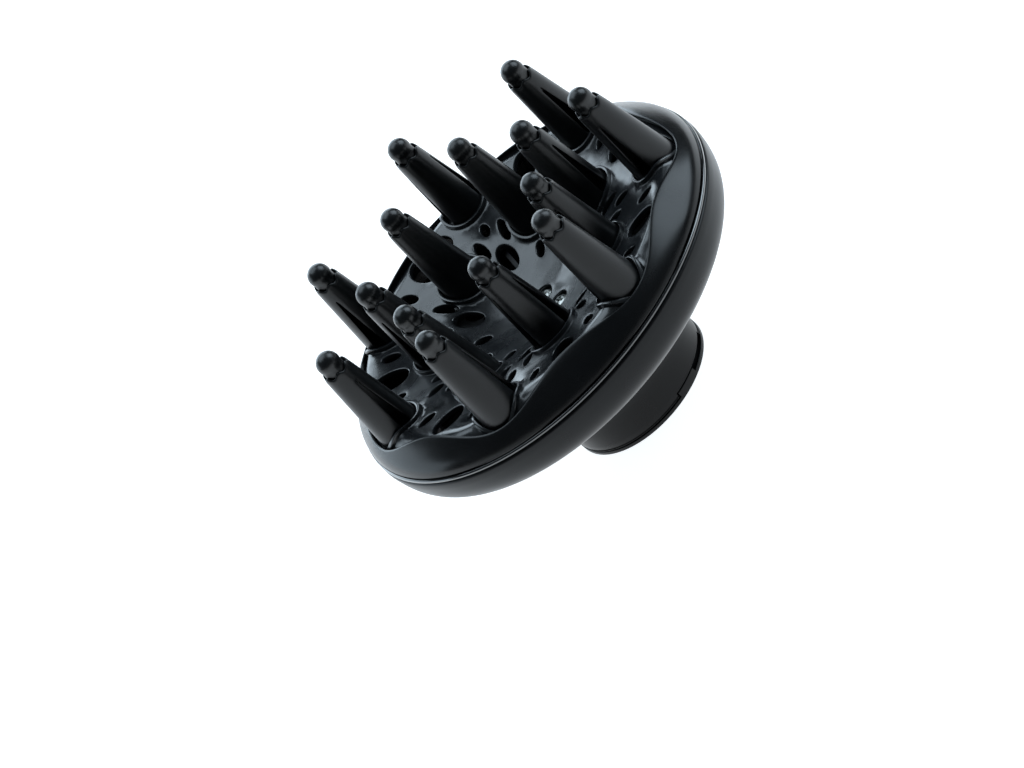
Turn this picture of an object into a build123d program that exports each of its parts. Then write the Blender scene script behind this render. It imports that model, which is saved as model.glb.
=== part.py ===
from build123d import *
import os
from math import cos, hypot, radians, sin, sqrt

# Hair dryer diffuser. Air enters the collar at the bottom, spreads in the bowl and leaves through
# a perforated dished plate and through fourteen hollow fingers.
# Frame: +Z along the air flow, origin at the centre of the collar's end, millimetres.
# Angles are measured from +X about +Z. Profiles are lists of (radius, height) points.

# ---- driving dimensions ----
FOLDS = 7                       # the bowl repeats this many times round its axis
PITCH = 360 / FOLDS
SEAM_Z = 59.6                   # height of the trim bead between the two halves of the case
BOWL_R = 80.9                   # largest radius of the case
WALL = 1.95                     # wall of the back shell and of its collar

COLLAR_R = 29.95                # outside of the collar
COLLAR_END_Z = 2.0              # lower edge of the collar, above the adapter ring's flange
SHOULDER_R = 27.0               # snap shoulder inside the collar
SHOULDER_Z = (18.0, 20.0)
SHOULDER_ROOT_R = (29.4, 30.4)  # where the shoulder's underside and top meet the collar's wall
SHELL_RIM_Z = 58.7
LEDGE_R = 76.7                  # ledge inside the rim, which the plate rests on
LEDGE_TOP_Z = 57.2
LEDGE_DEPTH = 1.6
LEDGE_ROOT_R = 79.6
LEDGE_ROOT_Z = 52.6

BEAD_R = 0.75                   # half-round bead in the seam, and the flat web that holds it
BEAD_CENTRE_R = BOWL_R - 0.95
BEAD_WEB_R = 76.8
BEAD_WEB_HALF = 0.4

WINDOW_START = -84.0            # bayonet window in the collar's lower edge
WINDOW_ARC = 55.0
WINDOW_HEIGHT = 1.7
WINDOWS = 2
LUG_ARC = 21.0                  # stop lug of the adapter ring, which travels in the window
LUG_GAP = 1.0                   # angle left between the lug and each end of the window

ADAPTER_BORE_R = 25.2           # takes the outlet of the dryer
ADAPTER_SLEEVE_R = 27.7
ADAPTER_NECK_R = 26.6
ADAPTER_BEAD_R = 27.6
ADAPTER_TOP_Z = 22.3
FLANGE_Z = 1.6
RELIEF_SLOTS = 4                # cuts that let the top of the adapter ring spring inwards

INNER_RHO = 39.9                # ring of the seven inner fingers
INNER_TIP_Z = SEAM_Z + 39.7
INNER_SEAT_Z = 54.4             # underside of the plate's socket, where the finger's flange stops
OUTER_RHO = 63.9                # ring of the seven outer fingers, half a pitch away
OUTER_TIP_Z = SEAM_Z + 43.7
OUTER_SEAT_Z = 56.8
OUTER_LEAN = 2.6                # degrees that an outer finger's base stands out from its tip

TIP_R = 4.39                    # domed fingertip
TIP_STEM_R = 2.2
MOUTH_DEPTH = 3.1               # mouth of the sleeve, below the centre of the dome
MOUTH_R = 5.35
SLEEVE_R = 8.7                  # sleeve where it enters the plate
SLEEVE_TAPER_DEPTH = 37.0
SLEEVE_WALL = 1.2
DIVIDER = 1.2                   # wall inside the sleeve, between its two slots
SOCKET_BORE_R = 9.1
SOCKET_R = 10.4
LIP_HEIGHT = 1.8                # socket's lip, above the plate
FINGER_FLANGE = 1.4
FINGER_FLANGE_R = 10.2
PAD_HEIGHT = 2.0                # ring of the carrier under each finger's flange
PAD_BORE_R = 7.4

PLATE_WALL = 1.8
PLATE_RIM_R = 78.5
SCREW_CIRCLE_R = 6.6            # three screws fasten the plate and the baffle to the hub
SCREW_START = -55.0
SCREWS = 3
SCREW_SHANK_R = 1.45
SCREW_HEAD_R = 3.0
PLATE_RIM_Z = (57.3, 59.1)
HUB_Z = (28.0, 33.0)
HUB_R = 11.5
ARM_WIDTH = 2.4
ARM_REACH = 60.0                # length of an arm before it is cut to the inside of the bowl
BAFFLE_TOP_Z = 46.8
BOSS_TOP_Z = 48.9               # seat of the screw heads, in the plate's counterbores
SCREW_CLEARANCE = 0.35
WELL_CLEARANCE = 0.9
BOSS_WALL = 2.0

CARRIER_Z = (50.9, 52.9)        # inner ring of the finger carrier
CARRIER_RING_R = (26.5, 30.5)
CARRIER_SCREW_R = 28.5
CARRIER_SCREW_ANGLES = (13.0, 13.0 + 2 * PITCH, 13.0 + 5 * PITCH)
CARRIER_BOSS_R = 2.6
CARRIER_BOSS_TOP_Z = 55.6
CARRIER_PILOT_TOP_Z = 55.0

# outline of the back shell from the collar to the seam
SHELL_OUTLINE = [(29.95, 14.0), (30.8, 18.0), (33.7, 23.0), (40.5, 28.1), (52.0, 33.2), (64.0, 37.9),
                 (72.4, 41.7), (76.5, 44.6), (78.9, 47.9), (80.2, 51.6), (80.9, 56.0)]
# top of the dished plate from its centre to the foot of its rim
PLATE_TOP = [(0.0, 50.6), (9.0, 51.0), (18.0, 53.1), (26.0, 55.8), (31.7, 58.1), (37.0, 60.8), (42.0, 62.8),
             (48.0, 64.3), (55.0, 65.7), (60.0, 67.0), (65.0, 68.6), (69.0, 69.3), (72.2, 67.7), (74.6, 64.6),
             (75.9, 61.5)]
# outside of the front bezel from the seam inwards
BEZEL_TOP = [(80.2, 60.6), (79.3, 63.4), (77.5, 65.9), (75.2, 68.1), (72.4, 70.4), (69.3, 72.3), (66.0, 73.7)]
BEZEL_WALL = 1.8
BEZEL_EDGE_R = 72.35            # scalloped inner edge: mean radius and depth of the wave
BEZEL_EDGE_WAVE = 2.85
BEZEL_LIP = 1.2

# oval holes of the plate: radius, angle from an inner finger, half length, half width
OVALS = [(31.5, PITCH / 2, 5.7, 3.6), (60.2, 0.0, 7.3, 5.2), (60.0, 12.4, 3.8, 2.1), (60.0, -12.4, 3.8, 2.1),
         (41.6, 17.9, 5.2, 2.0), (41.6, -17.9, 5.2, 2.0), (47.8, PITCH / 2, 3.6, 1.9), (25.5, 0.0, 3.2, 1.9)]


# ---- helpers ----
def offset_profile(points, distance):
    """Profile moved sideways by distance, to the left of its direction of travel."""
    moved = []
    for i, (r, z) in enumerate(points):
        r0, z0 = points[max(i - 1, 0)]
        r1, z1 = points[min(i + 1, len(points) - 1)]
        run = hypot(r1 - r0, z1 - z0)
        moved.append((r - (z1 - z0) / run * distance, z + (r1 - r0) / run * distance))
    return moved


def smooth(points):
    """Smooth edge through a profile, in the XZ plane."""
    return Spline(*[(r, 0, z) for r, z in points])


def path(points):
    """Straight edges through a profile, in the XZ plane."""
    return Polyline(*[(r, 0, z) for r, z in points])


def turned(*edges):
    """Solid of revolution about Z of the area that the edges enclose."""
    face = Face(Wire([e for edge in edges for e in edge.edges()]))
    return revolve(face, Axis.Z)


def turned_polygon(points):
    """Solid of revolution about Z of a straight-sided profile."""
    return turned(path(points + points[:1]))


def tube(r_out, r_in, z_low, z_high):
    """Round tube on the Z axis."""
    height = z_high - z_low
    return Pos(0, 0, z_low) * extrude(Circle(r_out) - Circle(r_in), height)


def rod(radius, z_low, z_high):
    """Round bar on the Z axis."""
    return Pos(0, 0, z_low) * extrude(Circle(radius), z_high - z_low)


def at(radius, angle):
    """Place on a circle about Z, turned to face outwards."""
    return Rot(0, 0, angle) * Pos(radius, 0, 0)


def sector(radius, start, arc, z_low, z_high):
    """Pie slice about Z, from the start angle over the arc, for cutting arcs out of rings."""
    steps = 6
    rim = [(radius * cos(radians(start + arc * i / steps)), radius * sin(radians(start + arc * i / steps)))
           for i in range(steps + 1)]
    face = make_face(Polyline((0, 0), *rim, (0, 0)))
    return Pos(0, 0, z_low) * extrude(face, z_high - z_low)


def scallop(grow=0.0):
    """Upright prism inside the wavy edge of the bezel, widest at the outer fingers."""
    count = FOLDS * 10
    points = []
    for i in range(count):
        a = 360 * i / count
        r = BEZEL_EDGE_R + grow - BEZEL_EDGE_WAVE * cos(radians(FOLDS * a))
        points.append((r * cos(radians(a)), r * sin(radians(a))))
    return Pos(0, 0, 50) * extrude(make_face(Spline(*points, periodic=True)), 30)


def inner_seat(k):
    """Frame of an inner finger, at the centre of its dome."""
    return Rot(0, 0, k * PITCH) * Pos(INNER_RHO, 0, INNER_TIP_Z)


def outer_seat(k):
    """Frame of an outer finger, at the centre of its dome and leaning outwards at its base."""
    return Rot(0, 0, (k + 0.5) * PITCH) * Pos(OUTER_RHO, 0, OUTER_TIP_Z) * Rot(0, -OUTER_LEAN, 0)


INNER_DEPTH = INNER_TIP_Z - INNER_SEAT_Z
OUTER_DEPTH = OUTER_TIP_Z - OUTER_SEAT_Z
SEATS = [(inner_seat(k), INNER_DEPTH) for k in range(FOLDS)]
SEATS += [(outer_seat(k), OUTER_DEPTH) for k in range(FOLDS)]


# ---- case ----
def back_shell():
    """Bowl and collar in one moulding, with two windows in the collar's edge."""
    foot = (COLLAR_R, COLLAR_END_Z)
    rim = [SHELL_OUTLINE[-1], (BOWL_R, SHELL_RIM_Z), (BOWL_R - WALL, SHELL_RIM_Z)]
    inside = offset_profile(SHELL_OUTLINE, WALL)
    collar = path([foot, SHELL_OUTLINE[0]])
    shell = turned(collar, smooth(SHELL_OUTLINE), path(rim + inside[-1:]), smooth(inside),
                   path([inside[0], (COLLAR_R - WALL, COLLAR_END_Z), foot]))
    shell += turned_polygon([(SHOULDER_R, SHOULDER_Z[0]), (SHOULDER_ROOT_R[0], SHOULDER_Z[0]),
                             (SHOULDER_ROOT_R[1], SHOULDER_Z[1]), (SHOULDER_R, SHOULDER_Z[1])])
    ledge = [(LEDGE_R, LEDGE_TOP_Z), (LEDGE_ROOT_R, LEDGE_TOP_Z), (LEDGE_ROOT_R, LEDGE_ROOT_Z)]
    shell += turned_polygon(ledge + [(LEDGE_R, LEDGE_TOP_Z - LEDGE_DEPTH)])
    for k in range(WINDOWS):
        start = WINDOW_START + k * 360 / WINDOWS
        shell -= sector(40, start, WINDOW_ARC, COLLAR_END_Z - 1, COLLAR_END_Z + WINDOW_HEIGHT)
    return shell


def hub_spider():
    """Three-armed hub that carries the plate, with its arms' ends on the inside of the bowl."""
    inside = offset_profile(SHELL_OUTLINE, WALL)
    low_z, high_z = inside[0][1], inside[-1][1]
    room = turned(path([(0, low_z), inside[0]]), smooth(inside), path([inside[-1], (0, high_z), (0, low_z)]))
    arm = Box(ARM_REACH, ARM_WIDTH, HUB_Z[1] - HUB_Z[0], align=(Align.MIN, Align.CENTER, Align.MIN))
    arms = Part()
    for k in range(SCREWS):
        arms += Rot(0, 0, SCREW_START + (k + 0.5) * 360 / SCREWS) * Pos(HUB_R / 2, 0, HUB_Z[0]) * arm
    hub = (arms & room) + rod(HUB_R, *HUB_Z)
    for k in range(SCREWS):
        hub -= at(SCREW_CIRCLE_R, SCREW_START + k * 360 / SCREWS) * rod(SCREW_SHANK_R, HUB_Z[0], HUB_Z[1])
    return hub


def adapter_ring():
    """Ring that slides over the dryer's outlet and turns in the collar between two stops."""
    step_z = SHOULDER_Z[0] - 0.3
    bead_z = SHOULDER_Z[1] + 0.3
    flange = [(ADAPTER_BORE_R, 0), (COLLAR_R, 0), (COLLAR_R, FLANGE_Z), (ADAPTER_SLEEVE_R, FLANGE_Z)]
    neck = [(ADAPTER_SLEEVE_R, step_z), (ADAPTER_NECK_R, step_z), (ADAPTER_NECK_R, bead_z)]
    head = [(ADAPTER_BEAD_R, bead_z), (ADAPTER_BORE_R + 0.8, ADAPTER_TOP_Z), (ADAPTER_BORE_R, ADAPTER_TOP_Z)]
    ring = turned_polygon(flange + neck + head)
    for k in range(RELIEF_SLOTS):
        slot = Box(8, 2.2, 9, align=(Align.CENTER, Align.CENTER, Align.MIN))
        ring -= at(ADAPTER_BORE_R + 1, (k + 0.5) * 360 / RELIEF_SLOTS) * Pos(0, 0, ADAPTER_TOP_Z - 7) * slot
    lug_top_z = COLLAR_END_Z + WINDOW_HEIGHT - 0.3
    lug_ring = tube(COLLAR_R - 0.05, ADAPTER_SLEEVE_R - 0.5, FLANGE_Z - 0.2, lug_top_z)
    for k in range(WINDOWS):
        start = WINDOW_START + LUG_GAP + k * 360 / WINDOWS
        ring += lug_ring & sector(40, start, LUG_ARC, 0, 8)
    return ring


def trim_bead():
    """Glossy bead held between the back shell and the bezel by its inner web."""
    root_r = BEAD_CENTRE_R - sqrt(BEAD_R ** 2 - BEAD_WEB_HALF ** 2)
    low_z, high_z = SEAM_Z - BEAD_WEB_HALF, SEAM_Z + BEAD_WEB_HALF
    bead = ThreePointArc((root_r, 0, low_z), (BEAD_CENTRE_R + BEAD_R, 0, SEAM_Z), (root_r, 0, high_z))
    return turned(bead, path([(root_r, high_z), (BEAD_WEB_R, high_z), (BEAD_WEB_R, low_z), (root_r, low_z)]))


def front_bezel():
    """Band that rises inwards from the seam to a scalloped edge round the outer fingers."""
    under = offset_profile(BEZEL_TOP, BEZEL_WALL)
    seam_z = BEZEL_TOP[0][1]
    foot = [(r, z) for r, z in under if z > seam_z]
    band = turned(smooth(BEZEL_TOP), path([BEZEL_TOP[-1], foot[-1]]), smooth(foot),
                  path([foot[0], (foot[0][0], seam_z), BEZEL_TOP[0]]))
    rise = [(r, z + 0.4) for r, z in PLATE_TOP[10:]]
    cover = offset_profile(BEZEL_TOP, BEZEL_WALL / 2)[1:]
    lip_zone = turned(smooth(rise), path([rise[-1], (cover[0][0], rise[-1][1]), cover[0]]), smooth(cover),
                      path([cover[-1], (rise[0][0], cover[-1][1]), rise[0]]))
    lip = lip_zone & scallop(BEZEL_LIP)
    return band + lip - scallop()


# ---- plate and what fastens it ----
def plate_blank(lift=0.0, floor_z=None):
    """Dished plate as a solid of revolution, or the filled bowl down to a floor."""
    top = [(r, z + lift) for r, z in PLATE_TOP]
    if floor_z is not None:
        return turned(smooth(top), path([top[-1], (top[-1][0], floor_z), (0, floor_z), top[0]]))
    under = [(r, z) for r, z in offset_profile(top, -PLATE_WALL)]
    under[0] = (0.0, top[0][1] - PLATE_WALL)
    rim_low, rim_high = PLATE_RIM_Z
    rim_foot = top[-1][0] + 0.4
    rim = [top[-1], (rim_foot, rim_high), (PLATE_RIM_R, rim_high), (PLATE_RIM_R, rim_low),
           (rim_foot - PLATE_WALL, rim_low), under[-1]]
    return turned(smooth(top), path(rim), smooth(under), path([under[0], top[0]]))


def diffuser_plate():
    """Perforated dished plate with a lipped socket for each finger."""
    sockets = Part() + [seat * rod(SOCKET_R, -depth, -depth + 20) for seat, depth in SEATS]
    sockets = sockets & plate_blank(LIP_HEIGHT, INNER_SEAT_Z - 5) & scallop(-0.3)
    plate = plate_blank() + sockets
    hub_places = [at(SCREW_CIRCLE_R, SCREW_START + k * 360 / SCREWS) for k in range(SCREWS)]
    carrier_places = [at(CARRIER_SCREW_R, angle) for angle in CARRIER_SCREW_ANGLES]
    boss_root_z = BOSS_TOP_Z + 1.1
    plate += [place * rod(SCREW_HEAD_R + BOSS_WALL, BAFFLE_TOP_Z + 0.1, boss_root_z) for place in hub_places]
    plate += [place * rod(CARRIER_BOSS_R, CARRIER_Z[1], CARRIER_BOSS_TOP_Z) for place in carrier_places]
    cutters = [seat * rod(SOCKET_BORE_R, -depth - 1, -depth + 24) for seat, depth in SEATS]
    for r, angle, half_length, half_width in OVALS:
        oval = Pos(0, 0, 45) * extrude(Ellipse(half_length, half_width), 30)
        cutters += [at(r, angle + k * PITCH) * oval for k in range(FOLDS)]
    shank_hole = rod(SCREW_SHANK_R + SCREW_CLEARANCE, BAFFLE_TOP_Z - 1, CARRIER_PILOT_TOP_Z)
    well = shank_hole + rod(SCREW_HEAD_R + WELL_CLEARANCE, BOSS_TOP_Z, CARRIER_PILOT_TOP_Z)
    cutters += [place * well for place in hub_places]
    cutters += [place * rod(1.2, CARRIER_Z[1] - 1, CARRIER_PILOT_TOP_Z) for place in carrier_places]
    return plate - cutters


def air_baffle():
    """Cone on the hub that turns the air outwards, with a spacer tube for each screw."""
    floor_z = 35.0
    root_r = HUB_R - 1.3
    cone = [(8.0, HUB_Z[1]), (HUB_R, HUB_Z[1]), (21.0, 46.0), (20.0, 47.0), (root_r, floor_z), (8.0, floor_z)]
    baffle = turned_polygon(cone) + rod(9.0, HUB_Z[1], floor_z)
    for k in range(SCREWS):
        place = at(SCREW_CIRCLE_R, SCREW_START + k * 360 / SCREWS)
        baffle += place * rod(3.2, HUB_Z[1], BAFFLE_TOP_Z)
        baffle -= place * rod(SCREW_SHANK_R + SCREW_CLEARANCE, HUB_Z[1] - 1, BAFFLE_TOP_Z + 1)
    return baffle


def cross_recess(z_top, depth):
    """Cross-shaped driver recess, opening upwards at z_top."""
    arm = Box(3.2, 0.8, depth, align=(Align.CENTER, Align.CENTER, Align.MAX))
    return Pos(0, 0, z_top) * (arm + Rot(0, 0, 90) * arm)


def hub_screw(k):
    """Pan-head screw through the plate and the baffle into the hub."""
    head_top = BOSS_TOP_Z + 1.8
    head = turned_polygon([(0, BOSS_TOP_Z), (SCREW_HEAD_R, BOSS_TOP_Z), (SCREW_HEAD_R, BOSS_TOP_Z + 0.9),
                           (SCREW_HEAD_R - 0.9, head_top), (0, head_top)])
    screw = head + rod(SCREW_SHANK_R - 0.02, HUB_Z[0] + 0.5, BOSS_TOP_Z) - cross_recess(head_top, 1.1)
    return at(SCREW_CIRCLE_R, SCREW_START + k * 360 / SCREWS) * screw


def carrier_screw(angle):
    """Small screw that fastens the carrier to the plate from behind."""
    screw = rod(2.4, CARRIER_Z[0] - 1.4, CARRIER_Z[0]) + rod(1.15, CARRIER_Z[0], 54.5)
    return at(CARRIER_SCREW_R, angle) * screw


def finger_carrier():
    """Web behind the plate that clamps the flange of every finger."""
    carrier = tube(CARRIER_RING_R[1], CARRIER_RING_R[0], *CARRIER_Z)
    blade_side = [(27.5, CARRIER_Z[0]), (27.5, 52.6), (34.0, 55.0), (42.0, 59.3), (48.0, 60.8), (53.6, 61.0),
                  (53.6, 55.0), (58.0, 54.8), (58.0, 53.4), (45.0, 51.6)]
    blade_face = Plane.XZ * make_face(Polyline(*blade_side, blade_side[0]))
    for k in range(FOLDS):
        blade = extrude(blade_face, 0.8, both=True)
        carrier += Rot(0, 0, (k + 0.5) * PITCH) * blade
    for seat, depth in SEATS:
        low = -depth - FINGER_FLANGE - PAD_HEIGHT - 0.1
        carrier += seat * tube(FINGER_FLANGE_R, PAD_BORE_R, low, low + PAD_HEIGHT)
    for seat, depth in SEATS:
        low = -depth - FINGER_FLANGE - PAD_HEIGHT - 1
        carrier -= seat * rod(PAD_BORE_R, low, low + PAD_HEIGHT + 1)
    for angle in CARRIER_SCREW_ANGLES:
        carrier -= at(CARRIER_SCREW_R, angle) * rod(1.4, CARRIER_Z[0] - 1, CARRIER_Z[1] + 1)
    return carrier


# ---- fingers ----
def sleeve(depth, slot_angle):
    """Hollow finger with its dome centre at the origin: open mouth, two long side slots with a divider
    between them, flange below."""
    end = -depth - FINGER_FLANGE
    taper = -SLEEVE_TAPER_DEPTH
    neck = -MOUTH_DEPTH - 3.2
    web = (-11.0, -9.4)
    throat = MOUTH_R - 0.6
    bore = [(SLEEVE_R - SLEEVE_WALL, end), (SLEEVE_R - SLEEVE_WALL, taper), (throat, neck)]
    taper_side = [(throat, -MOUTH_DEPTH), (MOUTH_R, -MOUTH_DEPTH), (SLEEVE_R, taper), (SLEEVE_R, -depth)]
    flange = [(FINGER_FLANGE_R, -depth), (FINGER_FLANGE_R, end)]
    body = turned_polygon(taper_side + flange + bore)
    body += tube(MOUTH_R, TIP_STEM_R, *web)
    slot_top, slot_low, top_half, low_half = -9.6, -33.5, 0.35, 2.3
    outline = [(-top_half, slot_top), (top_half, slot_top), (low_half, slot_low), (-low_half, slot_low)]
    face = make_face(Polyline(*outline, outline[0])) + Pos(0, slot_low) * Circle(low_half)
    for side in (-1, 1):
        cutter = Rot(0, 0, side * slot_angle) * Pos(4.4, 0, 0) * extrude(Plane.YZ * face, 8)
        body -= cutter
    room = turned_polygon([(0, web[0]), (0, end), *bore[:2], (throat + 0.7, web[0])])
    wall = Box(2 * SLEEVE_R, DIVIDER, web[0] - end, align=(Align.CENTER, Align.CENTER, Align.MIN))
    return body + (Pos(0, 0, end) * wall & room)


def finger_tip():
    """Domed tip with a skirt inside the sleeve's mouth and a stem pressed into its web."""
    skirt = -MOUTH_DEPTH - 3.0
    dome = revolve(Plane.XZ * make_face(Line((0, 0), (0, TIP_R)) + CenterArc((0, 0), TIP_R, 0, 90)
                                        + Line((TIP_R, 0), (0, 0))), Axis.Z)
    return dome + rod(TIP_R, skirt, 0) + rod(TIP_STEM_R, -12.5, skirt)


def main():
    """Write one STEP file for each piece."""
    parts = {
        "back_shell": back_shell(),
        "hub_spider": hub_spider(),
        "adapter_ring": adapter_ring(),
        "trim_bead": trim_bead(),
        "front_bezel": front_bezel(),
        "diffuser_plate": diffuser_plate(),
        "air_baffle": air_baffle(),
        "finger_carrier": finger_carrier(),
    }
    for k in range(SCREWS):
        parts[f"hub_screw_{k + 1}"] = hub_screw(k)
    for k, angle in enumerate(CARRIER_SCREW_ANGLES):
        parts[f"carrier_screw_{k + 1}"] = carrier_screw(angle)
    inner_sleeve = sleeve(INNER_DEPTH, 60)
    outer_sleeve = sleeve(OUTER_DEPTH, 105)
    tip = finger_tip()
    for k in range(FOLDS):
        parts[f"inner_finger_{k + 1}"] = inner_seat(k) * inner_sleeve
        parts[f"inner_tip_{k + 1}"] = inner_seat(k) * tip
        parts[f"outer_finger_{k + 1}"] = outer_seat(k) * outer_sleeve
        parts[f"outer_tip_{k + 1}"] = outer_seat(k) * tip
    os.makedirs("parts", exist_ok=True)
    for name, piece in parts.items():
        export_step(piece, f"parts/{name}.step")


main()
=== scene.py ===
"""Looks of a salon dryer diffuser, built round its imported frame.

Sizes in this file are millimetres and degrees, angles are measured from +X about +Z, and a
profile is a row of (radius, height) points. Meshes are written in metres.
"""

import logging
import math
from collections.abc import Sequence
from dataclasses import dataclass
from enum import Enum

import bpy
import numpy as np
from mathutils import Matrix, Vector, geometry

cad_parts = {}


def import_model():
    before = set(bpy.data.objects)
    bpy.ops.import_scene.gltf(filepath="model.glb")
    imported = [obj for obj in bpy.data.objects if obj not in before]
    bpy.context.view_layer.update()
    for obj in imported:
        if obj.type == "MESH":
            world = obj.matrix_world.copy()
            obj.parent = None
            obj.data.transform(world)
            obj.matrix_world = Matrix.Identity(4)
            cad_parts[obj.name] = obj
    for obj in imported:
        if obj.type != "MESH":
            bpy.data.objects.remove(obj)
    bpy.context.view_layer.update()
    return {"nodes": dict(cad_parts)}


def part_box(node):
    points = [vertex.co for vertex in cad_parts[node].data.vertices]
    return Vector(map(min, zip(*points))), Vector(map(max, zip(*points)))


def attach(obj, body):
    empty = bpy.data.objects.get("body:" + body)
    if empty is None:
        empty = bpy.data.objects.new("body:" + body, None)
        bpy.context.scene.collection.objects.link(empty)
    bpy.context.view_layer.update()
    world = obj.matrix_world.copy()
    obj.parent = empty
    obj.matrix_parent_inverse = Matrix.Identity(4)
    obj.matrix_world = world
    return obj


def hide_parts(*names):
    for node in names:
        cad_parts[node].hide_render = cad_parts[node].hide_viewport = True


Array = np.ndarray
log = logging.getLogger("diffuser")

MM = 0.001
FOLDS = 7
PITCH = 360.0 / FOLDS
MOVING = "adapter"
FIXED = "diffuser"
SHARP_ANGLE = 38.0


# ---------------------------------------------------------------- surfaces
@dataclass
class Surface:
    """Points in millimetres and faces of up to four corners, a missing corner being -1."""

    points: Array
    faces: Array

    def moved(self, turn: Array, shift: Array) -> "Surface":
        """The same surface turned by a 3x3 matrix and then shifted."""
        return Surface(self.points @ turn.T + shift, self.faces)

    def shifted(self, shift: Array) -> "Surface":
        """The same surface shifted."""
        return Surface(self.points + shift, self.faces)

    def flipped(self) -> "Surface":
        """The same surface with its faces turned round."""
        filled = self.faces[:, 3] >= 0
        faces = self.faces.copy()
        faces[filled] = faces[filled][:, ::-1]
        faces[~filled, :3] = faces[~filled][:, 2::-1]
        return Surface(self.points, faces)

    def volume(self) -> float:
        """Signed volume: the sum of the tetrahedra from the origin to each face."""
        p = self.points
        f = np.where(self.faces >= 0, self.faces, self.faces[:, 2:3])
        first = np.einsum("ij,ij->i", p[f[:, 0]], np.cross(p[f[:, 1]], p[f[:, 2]]))
        second = np.einsum("ij,ij->i", p[f[:, 0]], np.cross(p[f[:, 2]], p[f[:, 3]]))
        return float((first + second).sum() / 6.0)

    def outward(self) -> "Surface":
        """The same closed surface with its faces pointing out."""
        return self if self.volume() > 0 else self.flipped()


def joined(surfaces: Sequence[Surface]) -> Surface:
    """Several surfaces as one, not yet welded.

    Args:
        surfaces: the surfaces, in order.

    Returns:
        Surface: all their points and faces.
    """
    starts = np.cumsum([0] + [len(s.points) for s in surfaces[:-1]])
    faces = [np.where(s.faces >= 0, s.faces + start, -1) for s, start in zip(surfaces, starts)]
    return Surface(np.vstack([s.points for s in surfaces]), np.vstack(faces))


def welded(surface: Surface, grain: float = 2e-3) -> Surface:
    """Merge points that fall on the same spot of a fine lattice and drop faces that collapse.

    Args:
        surface: the surface to clean.
        grain: spacing of the lattice, in millimetres.

    Returns:
        Surface: the merged surface.
    """
    keys = np.round(surface.points / grain).astype(np.int64)
    _, first, inverse = np.unique(keys, axis=0, return_index=True, return_inverse=True)
    inverse = inverse.reshape(-1)
    faces = np.where(surface.faces >= 0, inverse[surface.faces], -1)
    faces[faces == np.roll(faces, 1, axis=1)] = -1
    order = np.argsort(faces < 0, axis=1, kind="stable")
    faces = np.take_along_axis(faces, order, axis=1)
    distinct = np.sort(faces, axis=1)
    distinct = (np.diff(distinct, axis=1) > 0).sum(axis=1) + (distinct[:, 0] >= 0)
    return Surface(surface.points[first], faces[distinct >= 3])


def grid(points: Array, close_rows: bool, close_columns: bool) -> Surface:
    """Quads over a rectangular array of points.

    Args:
        points: array of shape (rows, columns, 3).
        close_rows: join the last row to the first.
        close_columns: join the last column to the first.

    Returns:
        Surface: one quad for each cell of the array.
    """
    rows, columns = points.shape[:2]
    i = np.arange(rows if close_rows else rows - 1)
    j = np.arange(columns if close_columns else columns - 1)
    i, j = (a.ravel() for a in np.meshgrid(i, j, indexing="ij"))
    right, below = (j + 1) % columns, (i + 1) % rows
    here, under = i * columns, below * columns
    faces = np.stack([here + j, under + j, under + right, here + right], axis=1)
    return Surface(points.reshape(-1, 3), faces)


def turned(sections: Array, angles: Array) -> Surface:
    """Closed section carried round Z: each point (r, z) goes to (r cos a, r sin a, z).

    Args:
        sections: (points, 2) for one section, or (angles, points, 2) where it changes with the angle.
        angles: angles round Z, in degrees, over one full turn.

    Returns:
        Surface: a closed ring, or a closed solid where the section touches the axis.
    """
    s = np.broadcast_to(sections, (len(angles),) + sections.shape[-2:])
    a = np.radians(angles)[:, None]
    points = np.stack([s[..., 0] * np.cos(a), s[..., 0] * np.sin(a), s[..., 1]], axis=-1)
    return welded(grid(points, True, True)).outward()


def around(count: int, *edges: float) -> Array:
    """Evenly spaced angles over a full turn, with a close pair at each sharp edge.

    Args:
        count: how many even steps.
        edges: angles where a section jumps.

    Returns:
        Array: sorted angles in degrees.
    """
    pair = 0.03
    extra = [(e + side) % 360 for e in edges for side in (-pair, pair)]
    even = np.arange(count) * 360.0 / count
    clear = np.array([min([abs((a - e + 180) % 360 - 180) for e in extra] or [9.0]) > 0.1 for a in even])
    return np.sort(np.concatenate([even[clear], extra]))


def inside_arc(angles: Array, start: float, arc: float) -> Array:
    """True where an angle lies within the arc that begins at start."""
    return (angles - start) % 360 < arc


def smooth_curve(points: Sequence[tuple[float, float]], count: int) -> Array:
    """Natural cubic spline through points, by chord length.

    Args:
        points: the points it passes through.
        count: how many points to return.

    Returns:
        Array: (count, 2) points on the curve.
    """
    p = np.asarray(points, float)
    h = np.hypot(*np.diff(p, axis=0).T)
    t = np.concatenate([[0.0], np.cumsum(h)])
    system = np.eye(len(p))
    inner = np.arange(1, len(p) - 1)
    system[inner, inner - 1] = h[:-1] / 6
    system[inner, inner] = (h[:-1] + h[1:]) / 3
    system[inner, inner + 1] = h[1:] / 6
    slopes = np.diff(p, axis=0) / h[:, None]
    bend = np.linalg.solve(system, np.vstack([[0, 0], np.diff(slopes, axis=0), [0, 0]]))
    u = np.linspace(0, t[-1], count)
    j = np.clip(np.searchsorted(t, u, "right") - 1, 0, len(p) - 2)
    b = ((u - t[j]) / h[j])[:, None]
    a = 1 - b
    lift = (a**3 - a) * bend[j] + (b**3 - b) * bend[j + 1]
    return a * p[j] + b * p[j + 1] + lift * h[j, None] ** 2 / 6


def offset(curve: Array, distance: float) -> Array:
    """Curve moved sideways by distance, to the left of its direction of travel."""
    along = np.gradient(curve, axis=0)
    along /= np.hypot(along[:, 0], along[:, 1])[:, None]
    return curve + distance * np.stack([-along[:, 1], along[:, 0]], axis=1)


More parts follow.
